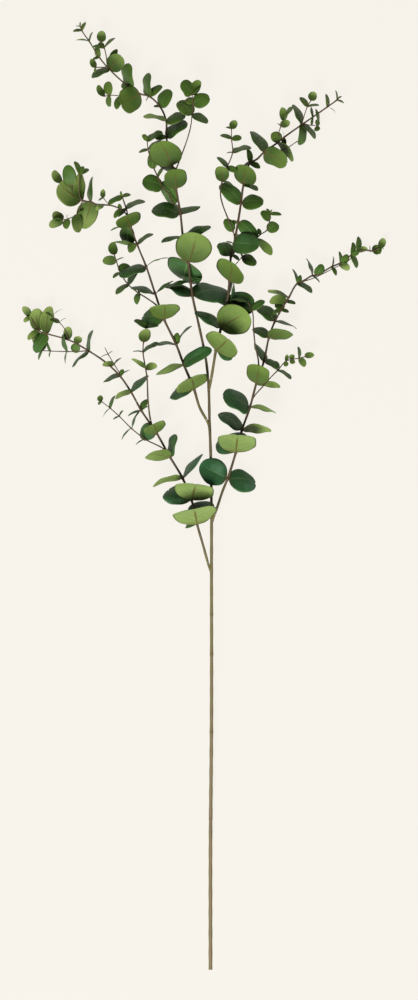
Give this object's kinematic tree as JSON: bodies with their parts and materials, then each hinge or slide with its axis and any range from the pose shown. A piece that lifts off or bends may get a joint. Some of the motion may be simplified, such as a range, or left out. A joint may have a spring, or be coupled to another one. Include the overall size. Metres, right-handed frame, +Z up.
{
  "type": "eucalyptus branch",
  "caption": "Cut branch of round-leaved eucalyptus lying flat: a bare stem end, leafy side shoots and fine tips, for floral and prop use.",
  "frame": {"origin": "centre of the bounding box in plan, on the table that the branch lies on", "axes": "+Y from the cut end towards the crown, +X to the crown's right seen from above, +Z up, away from the table"},
  "size_m": [0.365, 0.9518, 0.0637],
  "materials": {
    "bark": "smooth young bark, olive brown, satin",
    "old_leaf": "waxy blue-green leaf, satin",
    "mid_leaf": "waxy mid-green leaf, satin",
    "young_leaf": "soft yellow-green young leaf and twig, satin"
  },
  "bodies": {
    "root": {"leader_tip": "young_leaf", "leader_twig_left": "young_leaf", "leader_twig_right": "young_leaf", "left_low_tip": "young_leaf", "left_low_twig_side": "young_leaf", "left_low_twig_up": "young_leaf", "left_mid_tip": "young_leaf", "left_mid_twig_side": "young_leaf", "left_mid_twig_tip": "young_leaf", "main_stem": "bark", "main_stem_leaves_1": "mid_leaf", "main_stem_leaves_2": "mid_leaf", "main_stem_leaves_3": "mid_leaf", "main_stem_leaves_4": "mid_leaf", "main_stem_leaves_5": "mid_leaf", "main_stem_leaves_6": "mid_leaf", "main_stem_leaves_7": "mid_leaf", "right_low_tip": "young_leaf", "right_low_twig_side": "young_leaf", "right_low_twig_up": "young_leaf", "right_mid_tip": "young_leaf", "right_mid_twig_left": "young_leaf", "right_mid_twig_low": "young_leaf", "right_mid_twig_side": "young_leaf", "shoot_left_low": "bark", "shoot_left_low_leaves_1": "old_leaf", "shoot_left_low_leaves_2": "old_leaf", "shoot_left_low_leaves_3": "old_leaf", "shoot_left_low_leaves_4": "old_leaf", "shoot_left_low_leaves_5": "old_leaf", "shoot_left_low_leaves_6": "old_leaf", "shoot_left_mid": "bark", "shoot_left_mid_leaves_1": "mid_leaf", "shoot_left_mid_leaves_2": "mid_leaf", "shoot_left_mid_leaves_3": "mid_leaf", "shoot_left_mid_leaves_4": "mid_leaf", "shoot_left_mid_leaves_5": "mid_leaf", "shoot_left_mid_leaves_6": "mid_leaf", "shoot_left_mid_leaves_7": "mid_leaf", "shoot_left_mid_leaves_8": "mid_leaf", "shoot_right_low": "bark", "shoot_right_low_leaves_1": "old_leaf", "shoot_right_low_leaves_2": "old_leaf", "shoot_right_low_leaves_3": "old_leaf", "shoot_right_low_leaves_4": "old_leaf", "shoot_right_low_leaves_5": "old_leaf", "shoot_right_low_leaves_6": "old_leaf", "shoot_right_low_leaves_7": "old_leaf", "shoot_right_low_leaves_8": "old_leaf", "shoot_right_mid": "bark", "shoot_right_mid_leaves_1": "mid_leaf", "shoot_right_mid_leaves_2": "mid_leaf", "shoot_right_mid_leaves_3": "mid_leaf", "shoot_right_mid_leaves_4": "mid_leaf", "shoot_right_mid_leaves_5": "mid_leaf", "shoot_right_mid_leaves_6": "mid_leaf", "shoot_right_mid_leaves_7": "mid_leaf", "shoot_right_mid_leaves_8": "mid_leaf"}
  },
  "joints": []
}
